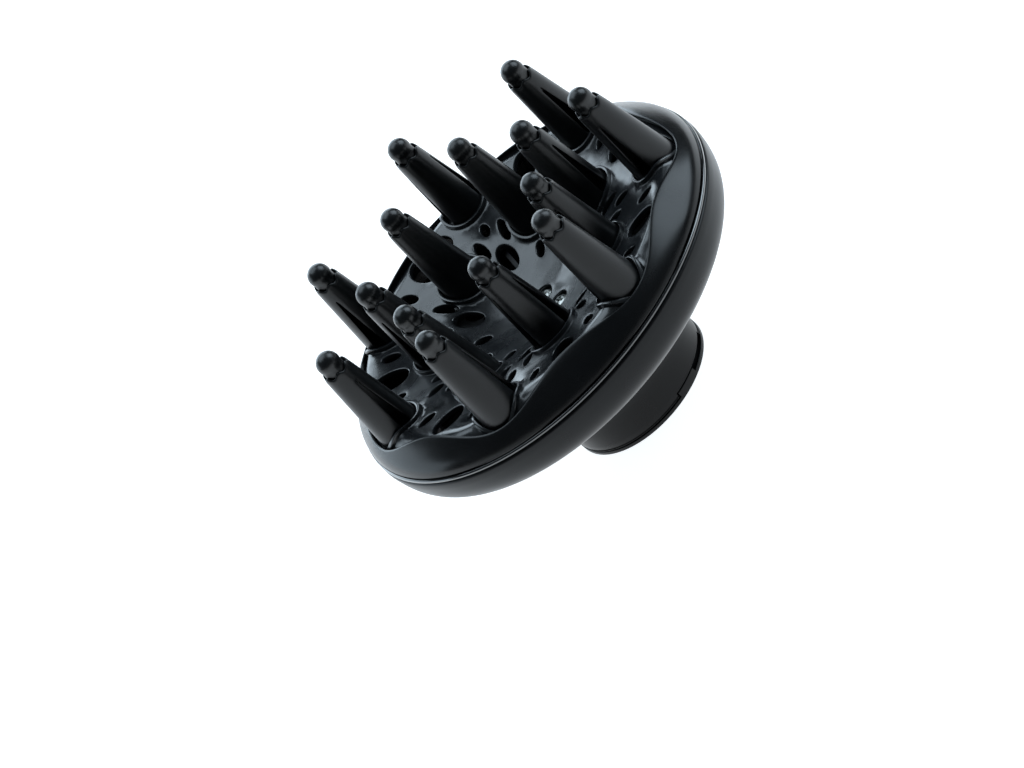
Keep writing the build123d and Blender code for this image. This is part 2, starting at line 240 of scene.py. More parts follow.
def filleted(corners: Sequence[tuple[float, float, float]], steps: int = 5) -> Array:
    """Closed polygon with rounded corners: each corner becomes a quadratic curve between its two sides.

    Args:
        corners: (radius, height, rounding) of each corner, rounding 0 for a plain one.
        steps: points on each rounded corner.

    Returns:
        Array: (points, 2) of the closed outline.
    """
    c = np.asarray(corners, float)
    p = c[:, :2]
    before = np.roll(p, 1, axis=0) - p
    after = np.roll(p, -1, axis=0) - p
    out = []
    for k, cut in enumerate(c[:, 2]):
        if cut == 0:
            out.append(p[k : k + 1])
            continue
        t = np.linspace(0, 1, steps)[:, None]
        first = p[k] + before[k] / np.hypot(*before[k]) * cut
        last = p[k] + after[k] / np.hypot(*after[k]) * cut
        out.append((1 - t) ** 2 * first + 2 * t * (1 - t) * p[k] + t**2 * last)
    return np.vstack(out)


def triangulated(points: Array, loops: Sequence[Array]) -> tuple[Array, Array]:
    """Flat net of triangles through scattered points, with every side of the loops kept as an edge.

    Args:
        points: (n, 2) loose points.
        loops: outlines, each an (m, 2) array; a row of nan breaks a loop that isn't closed.

    Returns:
        tuple: (points, triangles) of the net, over the convex outline of all of them.
    """
    parts, edges = [points], []
    start = len(points)
    for loop in loops:
        i = np.arange(len(loop))
        pair = np.stack([i, np.roll(i, -1)], axis=1)
        real = ~np.isnan(loop[:, 0])
        new_index = np.cumsum(real) - 1
        pair = pair[real[pair[:, 0]] & real[pair[:, 1]]]
        edges.append(new_index[pair] + start)
        parts.append(loop[real])
        start += int(real.sum())
    every = np.vstack(parts)
    corners = [Vector(xy) for xy in every.tolist()]
    net, _, triangles, *_ = geometry.delaunay_2d_cdt(corners, np.vstack(edges).tolist(), [], 0, 1e-5)
    return np.array([v[:] for v in net], float), np.array(triangles, int)


def as_faces(triangles: Array) -> Array:
    """Triangles as rows of four corners, the last one missing."""
    return np.hstack([triangles, np.full((len(triangles), 1), -1)])


# ---------------------------------------------------------------- finishes
def set_inputs(node: bpy.types.Node, values: dict[str, object]) -> None:
    """Set inputs of a shader node by name."""
    for name, value in values.items():
        node.inputs[name].default_value = value


def placed(name: str, data: bpy.types.ID) -> bpy.types.Object:
    """New object in the scene that holds a mesh, a light or a camera."""
    held = bpy.data.objects.new(name, data)
    bpy.context.scene.collection.objects.link(held)
    return held


class Slot(Enum):
    """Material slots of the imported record."""

    CASE = "case_satin"
    BEZEL = "bezel_satin"
    TRIM = "trim_gloss"
    PLATE = "plate_gloss"
    FINGER = "finger_matte"
    TIP = "tip_satin"
    ADAPTER = "adapter_satin"
    INNER = "inner_black"
    SCREW = "screw_steel"


@dataclass(frozen=True)
class Finish:
    """Moulded plastic or plated steel, worked out from object coordinates.

    Slow clouds vary the colour and the roughness, a fine grain and a long swell bend the light.
    Scales are repeats per metre and heights are metres.
    """

    slot: Slot
    dark: tuple[float, float, float]
    light: tuple[float, float, float]
    roughness: tuple[float, float]
    cloud_scale: float = 60.0
    grain_scale: float = 2600.0
    grain_height: float = 0.00002
    grain_strength: float = 0.25
    swell_scale: float = 40.0
    swell_height: float = 0.0
    coat: float = 0.0
    coat_roughness: float = 0.1
    metallic: float = 0.0
    specular: float = 0.5

    def material(self) -> bpy.types.Material:
        """Build the node material.

        Returns:
            bpy.types.Material: the finished material.
        """
        made = bpy.data.materials.new(f"finish_{self.slot.value}")
        made.use_nodes = True
        nodes, links = made.node_tree.nodes, made.node_tree.links
        shader = nodes["Principled BSDF"]
        set_inputs(shader, {"Metallic": self.metallic, "Specular IOR Level": self.specular,
                            "Coat Weight": self.coat, "Coat Roughness": self.coat_roughness})
        place = nodes.new("ShaderNodeTexCoord")

        def noise(scale: float, detail: float) -> bpy.types.NodeSocket:
            """Noise on object coordinates, at a scale in repeats per metre."""
            node = nodes.new("ShaderNodeTexNoise")
            set_inputs(node, {"Scale": scale, "Detail": detail})
            links.new(place.outputs["Object"], node.inputs["Vector"])
            return node.outputs["Fac"]

        def bump(strength: float, height: float, scale: float) -> bpy.types.Node:
            """Bump from noise, its height in metres at a scale in repeats per metre."""
            node = nodes.new("ShaderNodeBump")
            set_inputs(node, {"Strength": strength, "Distance": height})
            links.new(noise(scale, 2.0), node.inputs["Height"])
            return node

        cloud = noise(self.cloud_scale, 4.0)
        ramp = nodes.new("ShaderNodeValToRGB")
        ramp.color_ramp.elements[0].position = 0.35
        ramp.color_ramp.elements[0].color = (*self.dark, 1.0)
        ramp.color_ramp.elements[1].position = 0.7
        ramp.color_ramp.elements[1].color = (*self.light, 1.0)
        links.new(cloud, ramp.inputs["Fac"])
        links.new(ramp.outputs["Color"], shader.inputs["Base Color"])
        spread = nodes.new("ShaderNodeMapRange")
        smooth, rough = self.roughness
        set_inputs(spread, {"From Min": 0.3, "From Max": 0.7, "To Min": smooth, "To Max": rough})
        links.new(cloud, spread.inputs["Value"])
        links.new(spread.outputs["Result"], shader.inputs["Roughness"])
        grain = bump(self.grain_strength, self.grain_height, self.grain_scale)
        if self.swell_height:
            swell = bump(1.0, self.swell_height, self.swell_scale)
            links.new(swell.outputs["Normal"], grain.inputs["Normal"])
        links.new(grain.outputs["Normal"], shader.inputs["Normal"])
        return made


def plastic(slot: Slot, grey: float, roughness: tuple[float, float], **more: float) -> Finish:
    """Black plastic, a shade bluer than neutral, of a given depth of grey."""
    dark = (grey * 0.75, grey * 0.84, grey * 0.95)
    light = (grey * 1.05, grey * 1.16, grey * 1.3)
    return Finish(slot, dark, light, roughness, **more)


FINISHES = (
    plastic(Slot.CASE, 0.004, (0.26, 0.34), grain_strength=0.12, specular=0.2),
    plastic(Slot.BEZEL, 0.004, (0.2, 0.28), grain_strength=0.12, specular=0.3),
    plastic(Slot.TRIM, 0.006, (0.05, 0.09), grain_strength=0.0, specular=0.7, coat=1.0,
            coat_roughness=0.04),
    plastic(Slot.PLATE, 0.012, (0.16, 0.34), grain_strength=0.08, swell_height=0.0009, swell_scale=60.0,
            specular=0.7),
    plastic(Slot.FINGER, 0.004, (0.3, 0.38), grain_strength=0.2, specular=0.38),
    plastic(Slot.TIP, 0.004, (0.28, 0.36), grain_strength=0.15, specular=0.45),
    plastic(Slot.ADAPTER, 0.004, (0.28, 0.38), grain_strength=0.2, specular=0.25),
    plastic(Slot.INNER, 0.002, (0.4, 0.5), grain_strength=0.2, specular=0.2),
    Finish(Slot.SCREW, (0.3, 0.31, 0.3), (0.55, 0.56, 0.54), (0.22, 0.4), cloud_scale=900.0, metallic=1.0),
)


class Paint:
    """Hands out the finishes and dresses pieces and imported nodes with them."""

    def __init__(self) -> None:
        """Build every finish once."""
        self.materials = {finish.slot: finish.material() for finish in FINISHES}

    def dress_node(self, node: bpy.types.Object, slot: Slot) -> None:
        """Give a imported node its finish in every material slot.

        Args:
            node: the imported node's object.
            slot: the finish it takes.
        """
        if not node.material_slots:
            node.data.materials.append(None)
        for place in node.material_slots:
            place.material = self.materials[slot]


@dataclass
class Workshop:
    """Puts surfaces into the scene as pieces of the object."""

    paint: Paint

    def add(self, name: str, surface: Surface, slot: Slot, body: str, *stands_for: str) -> None:
        """Make one piece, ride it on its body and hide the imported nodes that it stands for.

        Args:
            name: name of the piece.
            surface: its points and faces, in millimetres.
            slot: the material slot it takes its finish from.
            body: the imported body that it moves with.
            stands_for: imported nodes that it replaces.
        """
        mesh = bpy.data.meshes.new(name)
        corners = surface.faces[surface.faces >= 0]
        counts = (surface.faces >= 0).sum(axis=1)
        mesh.vertices.add(len(surface.points))
        mesh.vertices.foreach_set("co", (surface.points * MM).astype(np.float32).ravel())
        mesh.loops.add(len(corners))
        mesh.loops.foreach_set("vertex_index", corners.astype(np.int32))
        mesh.polygons.add(len(counts))
        mesh.polygons.foreach_set("loop_start", (np.cumsum(counts) - counts).astype(np.int32))
        mesh.update(calc_edges=True)
        mesh.validate()
        mesh.polygons.foreach_set("use_smooth", np.ones(len(mesh.polygons), bool))
        mesh.set_sharp_from_angle(angle=math.radians(SHARP_ANGLE))
        mesh.materials.append(self.paint.materials[slot])
        piece = placed(name, mesh)
        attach(piece, body)
        if stands_for:
            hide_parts(*stands_for)
        log.info("%s: %d faces, on %s, stands for %s",
                 name, len(mesh.polygons), body, ", ".join(stands_for) or "-")


# ---------------------------------------------------------------- case
def node_box(node: str) -> tuple[Array, Array]:
    """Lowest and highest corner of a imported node, in millimetres."""
    low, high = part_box(node)
    return np.array(low) / MM, np.array(high) / MM


@dataclass
class CaseShell:
    """Bowl and collar in one moulding, with bayonet windows in the collar's edge and a hub inside."""

    wall: float = 1.95
    collar_r: float = 29.95
    collar_end_z: float = 2.0
    window_start: float = -84.0
    window_arc: float = 55.0
    window_height: float = 1.7
    windows: int = 2
    straight_z: float = 8.0
    shoulder_r: float = 27.0
    shoulder_z: tuple[float, float] = (18.0, 20.0)
    rim_z: float = 58.7
    ledge_r: float = 76.7
    ledge_z: tuple[float, float] = (55.6, 57.2)
    ledge_root: tuple[float, float] = (78.6, 53.6)
    edge_round: float = 1.1
    outline: Sequence[tuple[float, float]] = (
        (29.95, 14.0), (30.8, 18.0), (33.7, 23.0), (40.5, 28.1), (52.0, 33.2), (64.0, 37.9),
        (72.4, 41.7), (76.5, 44.6), (78.9, 47.9), (80.2, 51.6), (80.9, 56.0),
    )
    hub_z: tuple[float, float] = (28.0, 33.0)
    hub_r: float = 11.5
    arm_start: float = 5.0
    arm_width: float = 2.4

    def section(self) -> Array:
        """Closed section of bowl and collar, counter-clockwise from the collar's lower edge."""
        skin = smooth_curve(self.outline, 72)
        inside = offset(skin, self.wall)[::-1]
        low, high = self.shoulder_z
        inside = inside[(inside[:, 1] < self.ledge_root[1]) & (inside[:, 1] > high + 0.4)]
        r, top = self.outline[-1]
        inner_r = r - self.wall
        z = self.collar_end_z
        inner_collar = self.collar_r - self.wall
        foot = filleted([(self.collar_r, self.straight_z, 0), (self.collar_r, z, 0.35),
                         (inner_collar, z, 0.35), (inner_collar, self.straight_z, 0)])[1:-1]
        under, over = self.ledge_z
        rim = filleted([(r, top, 0), (r, self.rim_z, self.edge_round), (inner_r, self.rim_z, 0.3),
                        (inner_r, over, 0), (self.ledge_r, over, 0.2), (self.ledge_r, under, 0.2),
                        (*self.ledge_root, 0)])[1:]
        shoulder = [(inner_collar, high + 0.2), (self.shoulder_r, high), (self.shoulder_r, low),
                    (inner_collar, low - 0.1)]
        steps = np.array([(inner_collar, self.straight_z), (inner_collar, z + 1.6)])
        up = np.array([(self.collar_r, h) for h in (z + 1.6, 5.0, self.straight_z, 11.0)])
        half = len(foot) // 2
        return np.vstack([foot[:half], up, skin, rim, inside, shoulder, steps, foot[half:]])

    def collar_edge(self, section: Array, angles: Array) -> Array:
        """Sections with the collar's lower edge raised in the windows: its lowest points move up by the
        window's height, and the points just above them stay clear of it at every angle."""
        sections = np.repeat(section[None], len(angles), axis=0)
        low = section[:, 1] < self.collar_end_z + 1.3
        for k in range(self.windows):
            cut = inside_arc(angles, self.window_start + k * 360.0 / self.windows, self.window_arc)
            sections[np.ix_(cut, low, [1])] += self.window_height
        high = self.collar_end_z + self.window_height + 0.4
        between = (section[:, 1] >= self.collar_end_z + 1.3) & (section[:, 1] < high)
        sections[:, between, 1] = np.maximum(sections[:, between, 1], high)
        return sections

    def build(self, shop: Workshop) -> None:
        """Make the moulding and the hub with its three arms."""
        starts = [self.window_start + k * 360.0 / self.windows for k in range(self.windows)]
        angles = around(256, *starts, *[s + self.window_arc for s in starts])
        section = self.section()
        shell = turned(self.collar_edge(section, angles), angles)
        shop.add("bowl_and_collar", shell, Slot.CASE, FIXED, "back_shell")
        low, high = self.hub_z
        disc = [(0, low, 0), (self.hub_r, low, 0.5), (self.hub_r, high, 0.5), (0, high, 0)]
        hub = turned(filleted(disc), around(96))
        arms = [self.arm(self.arm_start + k * 120.0) for k in range(3)]
        shop.add("three_armed_hub", joined([hub, *arms]), Slot.CASE, FIXED, "hub_spider")

    def arm(self, angle: float) -> Surface:
        """Rib from the hub to the bowl: its underside follows the inside of the bowl."""
        low, high = self.hub_z
        inside = offset(smooth_curve(self.outline, 72), self.wall * 0.6)
        reach = float(np.interp(high, inside[:, 1], inside[:, 0]))
        touch = float(np.interp(low, inside[:, 1], inside[:, 0]))
        side = np.array([(self.hub_r - 1, low), (touch, low), (reach, high), (self.hub_r - 1, high)])
        half = self.arm_width / 2
        x = np.concatenate([side[:, 0], side[:, 0]])
        z = np.concatenate([side[:, 1], side[:, 1]])
        y = np.repeat([-half, half], 4)
        faces = np.array([[0, 1, 2, 3], [7, 6, 5, 4], [0, 4, 5, 1], [1, 5, 6, 2], [2, 6, 7, 3], [3, 7, 4, 0]])
        rib = Surface(np.stack([x, y, z], axis=1), faces).outward()
        return rib.moved(turn_z(angle), np.zeros(3))


def turn_z(angle: float) -> Array:
    """3x3 turn about Z by an angle in degrees."""
    c, s = math.cos(math.radians(angle)), math.sin(math.radians(angle))
    return np.array([[c, -s, 0.0], [s, c, 0.0], [0.0, 0.0, 1.0]])


def turn_y(angle: float) -> Array:
    """3x3 turn about Y by an angle in degrees."""
    c, s = math.cos(math.radians(angle)), math.sin(math.radians(angle))
    return np.array([[c, 0.0, s], [0.0, 1.0, 0.0], [-s, 0.0, c]])


PLATE_TOP = smooth_curve(
    ((0.0, 50.6), (9.0, 51.0), (18.0, 53.1), (26.0, 55.8), (31.7, 58.1), (37.0, 60.8), (42.0, 62.8),
     (48.0, 64.3), (55.0, 65.7), (60.0, 67.0), (65.0, 68.6), (69.0, 69.3), (72.2, 67.7), (74.6, 64.6),
     (75.9, 61.5)), 300)


def plate_height(r: Array) -> Array:
    """Height of the dished plate's top at a radius."""
    return np.interp(r, PLATE_TOP[:, 0], PLATE_TOP[:, 1])


@dataclass
class FrontBezel:
    """Band that rises inwards from the seam to a scalloped edge, turned down to the plate."""

    edge_r: float = 72.35
    edge_wave: float = 2.85
    wall: float = 1.8
    lip: float = 1.2
    lip_gap: float = 0.4
    edge_round: float = 1.3
    outline: Sequence[tuple[float, float]] = (
        (80.2, 60.6), (79.3, 63.4), (77.5, 65.9), (75.2, 68.1), (72.4, 70.4), (69.3, 72.3), (66.0, 73.7),
    )

    def sections(self, angles: Array) -> Array:
        """Section at each angle: the outer curve up to the scalloped edge at edge_r - wave cos(7a), a
        rounded corner, the turned-down lip, and the underside back to the seam."""
        skin = smooth_curve(self.outline, 200)
        under = offset(skin, self.wall)
        edge = self.edge_r - self.edge_wave * np.cos(np.radians(FOLDS * angles))
        t = np.linspace(0, 1, len(skin))
        end = np.interp(-edge, -skin[:, 0], t)
        back = np.interp(-(edge + self.edge_round), -skin[:, 0], t)
        share = np.linspace(0, 1, 26)
        along = back[:, None] * share
        top = np.stack([np.interp(along, t, skin[:, 0]), np.interp(along, t, skin[:, 1])], axis=-1)
        top[:, 0] += [-0.02, 0.62]
        corner = np.stack([edge, np.interp(end, t, skin[:, 1])], axis=-1)
        below = corner - [0.0, self.edge_round]
        b = np.linspace(0, 1, 7)[1:, None]
        bow = (1 - b) ** 2 * top[:, -1:] + 2 * b * (1 - b) * corner[:, None] + b**2 * below[:, None]
        ceiling = np.interp(-(edge + self.lip), -under[:, 0], under[:, 1])
        floor_z = np.minimum(plate_height(edge) + self.lip_gap, ceiling - 0.3)
        lip = np.stack([
            np.stack([edge, floor_z + 0.25], axis=-1),
            np.stack([edge + 0.1, floor_z + 0.06], axis=-1),
            np.stack([edge + 0.3, floor_z], axis=-1),
            np.stack([edge + self.lip, floor_z], axis=-1),
            np.stack([edge + self.lip, ceiling], axis=-1),
        ], axis=1)
        under = under[under[:, 1] > self.outline[0][1]]
        t_under = np.linspace(0, 1, len(under))
        start = np.interp(-(edge + self.lip), -under[:, 0], t_under)
        home = start[:, None] * (1 - np.linspace(0, 1, 12)[1:])
        inner = np.stack([np.interp(home, t_under, side) for side in under.T], axis=-1)
        foot_r, foot_z = self.outline[0]
        foot = np.array([(under[0, 0], foot_z), (foot_r - 1.1, foot_z), (foot_r - 0.6, foot_z + 0.1),
                         (foot_r - 0.22, foot_z + 0.35)])
        foot = np.repeat(foot[None], len(angles), axis=0)
        return np.concatenate([top, bow, lip, inner, foot], axis=1)

    def build(self, shop: Workshop) -> None:
        """Make the band."""
        angles = around(504)
        band = turned(self.sections(angles), angles)
        shop.add("front_bezel_band", band, Slot.BEZEL, FIXED, "front_bezel")


@dataclass
class TrimBead:
    """Half-round bead in the seam, with the flat web that holds it."""

    bead_r: float = 0.75
    centre_r: float = 79.95
    web_r: float = 76.8
    web_half: float = 0.4

    def build(self, shop: Workshop) -> None:
        """Make the bead: an arc of the bead's radius, closed by the web."""
        low, high = node_box("trim_bead")
        z = (low[2] + high[2]) / 2
        reach = math.degrees(math.asin(self.web_half / self.bead_r))
        a = np.radians(np.linspace(-180 + reach, 180 - reach, 25))
        bead = np.stack([self.centre_r + self.bead_r * np.cos(a), z + self.bead_r * np.sin(a)], axis=1)
        web = [(self.web_r, z + self.web_half), (self.web_r, z - self.web_half)]
        ring = turned(np.vstack([bead, web]), around(360))
        shop.add("seam_trim_bead", ring, Slot.TRIM, FIXED, "trim_bead")


# ---------------------------------------------------------------- plate
@dataclass(frozen=True)
class Oval:
    """Hole of the plate, repeated for every finger: where it is and its half axes."""

    r: float
    angle: float
    half_length: float
    half_width: float


@dataclass
class DiffuserPlate:
    """Perforated dished plate with a lipped socket for each finger."""

    wall: float = 1.8
    rim_r: float = 75.9
    foot_r: float = 78.5
    bore_r: float = 9.1
    socket_r: float = 10.4
    inner_rho: float = 39.9
    inner_seat_z: float = 54.4
    outer_rho: float = 65.5
    outer_seat_z: float = 56.8
    screw_circle_r: float = 6.6
    screw_start: float = -55.0
    screw_well_r: float = 3.9
    screw_seat_z: float = 48.9
    step: float = 1.7
    ovals: Sequence[Oval] = (
        Oval(31.5, PITCH / 2, 5.7, 3.6), Oval(60.2, 0.0, 7.3, 5.2), Oval(60.0, 12.4, 3.8, 2.1),
        Oval(60.0, -12.4, 3.8, 2.1), Oval(41.6, 17.9, 5.2, 2.0), Oval(41.6, -17.9, 5.2, 2.0),
        Oval(47.8, PITCH / 2, 3.6, 1.9), Oval(25.5, 0.0, 3.2, 1.9),
    )
    cup_bore_r: float = 1.8
    cup_r: float = 5.0
    cup_z: tuple[float, float] = (46.9, 50.0)
    foot_inner_r: float = 74.5
    foot_step_r: float = 76.3
    foot_z: tuple[float, float] = (57.3, 59.1)
    foot_top_z: float = 61.9
    clearance: float = 0.4
    edge_rings: Sequence[float] = (0.0, 0.1, 0.25, 0.5)
    edge_sinks: Sequence[float] = (0.42, 0.16, 0.04, 0.0)
    lip_rings: Sequence[float] = (0.0, 0.12, 0.35, 0.8, 1.15, 1.24, 1.3, 1.36, 1.6)
    lip_rises: Sequence[float] = (1.35, 1.65, 1.78, 1.8, 1.72, 1.5, 1.0, 0.2, 0.0)
    rim_columns: int = 420
    socket_columns: int = 96
    well_columns: int = 48

    def sockets(self) -> Array:
        """Centres of the fourteen sockets at the plate's level."""
        k = np.arange(FOLDS)
        a = np.radians(np.concatenate([k, k + 0.5]) * PITCH)
        rho = np.repeat([self.inner_rho, self.outer_rho], FOLDS)
        return np.stack([rho * np.cos(a), rho * np.sin(a)], axis=1)

    def wells(self) -> Array:
        """Centres of the three screw wells."""
        a = np.radians(self.screw_start + np.arange(3) * 120.0)
        return self.screw_circle_r * np.stack([np.cos(a), np.sin(a)], axis=1)

    def holes(self) -> list[tuple[float, float, Oval]]:
        """Every hole of the plate as (cos, sin) of its place angle and its oval."""
        places = [(math.radians(o.angle + k * PITCH), o) for o in self.ovals for k in range(FOLDS)]
        return [(math.cos(a), math.sin(a), o) for a, o in places]

    def hole_distance(self, xy: Array) -> Array:
        """Distance outside the nearest hole: the oval's equation divided by the length of its gradient."""
        best = np.full(len(xy), 99.0)
        for c, s, o in self.holes():
            u = xy[:, 0] * c + xy[:, 1] * s - o.r
            v = -xy[:, 0] * s + xy[:, 1] * c
            value = (u / o.half_length) ** 2 + (v / o.half_width) ** 2 - 1
            steep = 2 * np.hypot(u / o.half_length**2, v / o.half_width**2) + 1e-9
            best = np.minimum(best, value / steep)
        return best

    def round_distance(self, xy: Array, centres: Array, radius: float) -> Array:
        """Distance outside the nearest of several circles."""
        d = np.hypot(xy[:, None, 0] - centres[None, :, 0], xy[:, None, 1] - centres[None, :, 1])
        return d.min(axis=1) - radius

    def hole_loop(self, c: float, s: float, o: Oval, out: float, count: int) -> Array:
        """Oval outline moved outwards along its normal."""
        t = np.linspace(0, 2 * np.pi, count, endpoint=False)
        n = np.stack([np.cos(t) / o.half_length, np.sin(t) / o.half_width], axis=1)
        n /= np.hypot(n[:, 0], n[:, 1])[:, None]
        u = o.r + o.half_length * np.cos(t) + n[:, 0] * out
        v = o.half_width * np.sin(t) + n[:, 1] * out
        return np.stack([u * c - v * s, u * s + v * c], axis=1)

    @staticmethod
    def circle(centre: Array, radius: float, count: int) -> Array:
        """Circle as a loop of points."""
        t = np.linspace(0, 2 * np.pi, count, endpoint=False)
        return centre + radius * np.stack([np.cos(t), np.sin(t)], axis=1)

    def top(self, xy: Array) -> Array:
        """Height of the finished top: the dish, plus the sockets' lips, less the rounding of each edge."""
        r = np.hypot(xy[:, 0], xy[:, 1])
        z = plate_height(r)
        socket = self.round_distance(xy, self.sockets(), self.bore_r)
        rise = np.interp(socket, self.lip_rings, self.lip_rises)
        hole = self.hole_distance(xy)
        sink = np.interp(hole, self.edge_rings, self.edge_sinks)
        well = self.round_distance(xy, self.wells(), self.screw_well_r)
        sink_well = np.interp(well, self.edge_rings, self.edge_sinks)
        return z + rise - sink - sink_well

    def underside(self, xy: Array) -> Array:
        """Height of the plate's underside: the dish less the wall, measured along the slope's normal."""
        r = np.hypot(xy[:, 0], xy[:, 1])
        slope = np.gradient(PLATE_TOP[:, 1], PLATE_TOP[:, 0])
        slant = np.interp(r, PLATE_TOP[:, 0], np.sqrt(1 + np.clip(slope, -1.5, 1.5) ** 2))
        return plate_height(r) - self.wall * slant

    def net(self) -> tuple[Array, Array]:
        """Flat net over the plate with every hole left out: rings round each hole, socket and well, and
        loose points a step apart elsewhere, a share of a step clear of the rings."""
        loops = [self.circle(np.zeros(2), self.rim_r, self.rim_columns)]
        for c, s, o in self.holes():
            count = int(16 + 5 * (o.half_length + o.half_width))
            loops += [self.hole_loop(c, s, o, out, count) for out in self.edge_rings]
        for centre in self.sockets():
            for out in self.lip_rings:
                loop = self.circle(centre, self.bore_r + out, self.socket_columns)
                loop[np.hypot(loop[:, 0], loop[:, 1]) > self.rim_r - 0.25] = np.nan
                loops.append(loop)
        for centre in self.wells():
            for out in self.edge_rings:
                loops.append(self.circle(centre, self.screw_well_r + out, self.well_columns))
        radii = np.arange(0.0, self.rim_r - self.step * 0.5, self.step)
        rings = [self.circle(np.zeros(2), r, max(1, int(2 * np.pi * r / self.step))) for r in radii]
        loose = np.vstack(rings)
        gap = self.clearance * self.step
        clear = self.hole_distance(loose) > self.edge_rings[-1] + gap
        clear &= self.round_distance(loose, self.sockets(), self.bore_r) > self.lip_rings[-1] + gap
        clear &= self.round_distance(loose, self.wells(), self.screw_well_r) > 0.9
        points, triangles = triangulated(loose[clear], loops)
        centre = points[triangles].mean(axis=1)
        solid = (self.hole_distance(centre) > 0) & (np.hypot(centre[:, 0], centre[:, 1]) < self.rim_r)
        solid &= self.round_distance(centre, self.sockets(), self.bore_r) > 0
        solid &= self.round_distance(centre, self.wells(), self.screw_well_r) > 0
        used, triangles = np.unique(triangles[solid], return_inverse=True)
        return points[used], triangles.reshape(-1, 3)

    def slab(self) -> Surface:
        """Closed sheet: the net lifted to the top and the underside, and an upright quad on every side of a
        triangle that no other triangle shares."""
        points, triangles = self.net()
        a, b, c = points[triangles].transpose(1, 0, 2)
        turning = (b[:, 0] - a[:, 0]) * (c[:, 1] - a[:, 1]) - (b[:, 1] - a[:, 1]) * (c[:, 0] - a[:, 0])
        triangles = np.where(turning[:, None] < 0, triangles[:, ::-1], triangles)
        sides = np.vstack([triangles[:, [0, 1]], triangles[:, [1, 2]], triangles[:, [2, 0]]])
        _, place, uses = np.unique(np.sort(sides, axis=1), axis=0, return_index=True, return_counts=True)
        start, end = sides[place[uses == 1]].T
        n = len(points)
        walls = np.stack([end, start, start + n, end + n], axis=1)
        top = np.column_stack([points, self.top(points)])
        low = np.column_stack([points, self.underside(points)])
        faces = np.vstack([as_faces(triangles), as_faces(triangles[:, ::-1] + n), walls])
        return Surface(np.vstack([top, low]), faces)

    def build(self, shop: Workshop) -> None:
        """Make the plate: the slab, its foot, the tubes of the sockets and the cups of the screws."""
        seats = np.repeat([self.inner_seat_z, self.outer_seat_z], FOLDS)
        tubes = []
        for centre, seat in zip(self.sockets(), seats):
            loop = self.circle(centre, self.bore_r, self.socket_columns)
            top_of_tube = float(self.underside(loop).min()) + 0.5
            if seat < top_of_tube - 0.8:
                ring = filleted([(self.bore_r, seat, 0), (self.socket_r, seat, 0.2),
                                 (self.socket_r, top_of_tube, 0), (self.bore_r, top_of_tube, 0)])
                tubes.append(turned(ring, around(96)).shifted(np.append(centre, 0.0)))
        for centre in self.wells():
            low, high = self.cup_z
            cup = filleted([(self.cup_bore_r, low, 0), (self.cup_r, low, 0.3), (self.cup_r, high, 0),
                            (self.screw_well_r, high, 0), (self.screw_well_r, self.screw_seat_z, 0.15),
                            (self.cup_bore_r, self.screw_seat_z, 0)])
            tubes.append(turned(cup, around(48)).shifted(np.append(centre, 0.0)))
        low, high = self.foot_z
        foot = filleted([(self.foot_inner_r, low, 0.2), (self.foot_r, low, 0.2), (self.foot_r, high, 0.2),
                         (self.foot_step_r, high, 0), (self.rim_r, self.foot_top_z, 0),
                         (self.foot_inner_r, self.foot_top_z, 0)])
        whole = joined([self.slab(), turned(foot, around(self.rim_columns)), *tubes])
        shop.add("perforated_plate", whole, Slot.PLATE, FIXED, "diffuser_plate")


